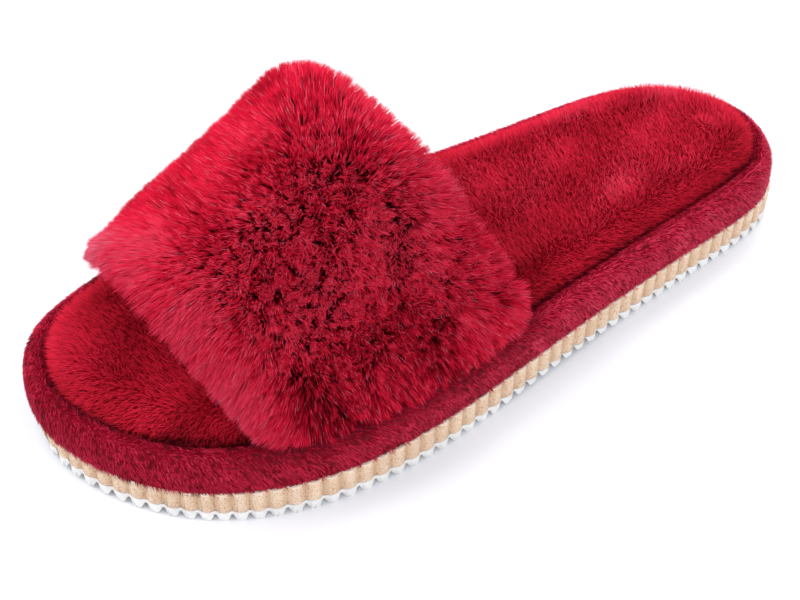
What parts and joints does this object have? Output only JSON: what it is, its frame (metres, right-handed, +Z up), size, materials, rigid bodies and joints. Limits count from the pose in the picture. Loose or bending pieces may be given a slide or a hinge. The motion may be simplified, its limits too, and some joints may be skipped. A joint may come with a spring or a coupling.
{
  "type": "slide slipper",
  "caption": "Open-toe, open-heel slide slipper for the left foot, with a furred strap, a plush footbed, a velour-covered rim and a ribbed foam sole.",
  "frame": {"origin": "on the floor, under the middle of the bounding box", "axes": "+Z up, the toe towards -Y, the heel towards +Y, +X to the lateral (outer) side"},
  "size_m": [0.105, 0.2628, 0.0981],
  "materials": {
    "outsole": "matte off-white foam rubber",
    "midsole": "matte speckled tan foam",
    "rand": "short crimson velour pile",
    "footbed": "brushed red plush pile",
    "upper": "deep crimson fur pile"
  },
  "bodies": {
    "root": {"outsole": "outsole", "midsole": "midsole", "rand": "rand", "footbed": "footbed", "upper": "upper"}
  },
  "joints": []
}
